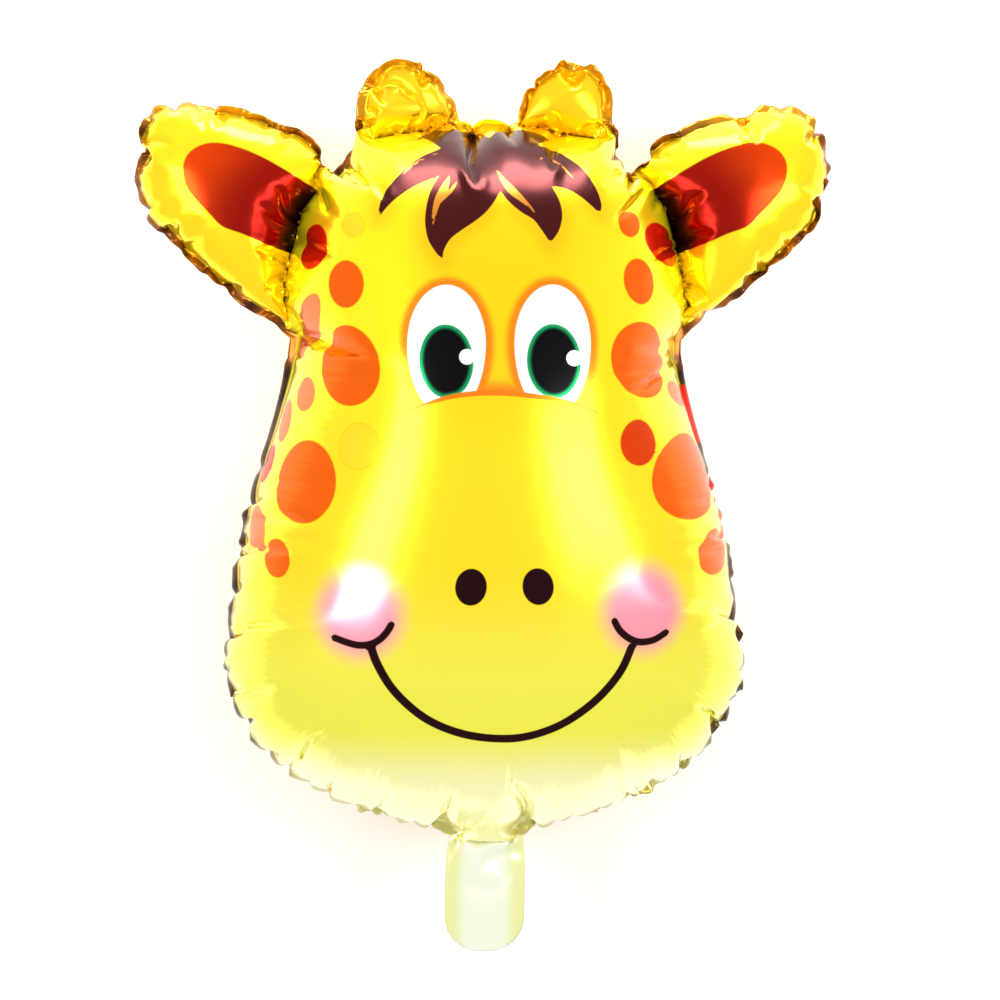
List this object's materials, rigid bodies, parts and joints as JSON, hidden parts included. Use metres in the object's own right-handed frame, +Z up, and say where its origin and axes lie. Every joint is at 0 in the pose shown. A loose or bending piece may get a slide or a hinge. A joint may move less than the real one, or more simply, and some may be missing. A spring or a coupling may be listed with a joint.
{
  "type": "giraffe foil balloon",
  "caption": "Foil party balloon in the shape of a giraffe's head, blown full, with ears, horns and a flat filling tail; lies face up on its back.",
  "frame": {"origin": "on the floor under the middle of the balloon's length and width, as it lies on its back", "axes": "+Z up out of the printed face, +Y towards the horns at the top of the head, +X to the viewer's right"},
  "size_m": [0.5072, 0.649, 0.2442],
  "materials": {
    "printed_foil": "metallised film, glossy, printed"
  },
  "bodies": {
    "root": {"foil_balloon": "printed_foil"}
  },
  "joints": []
}
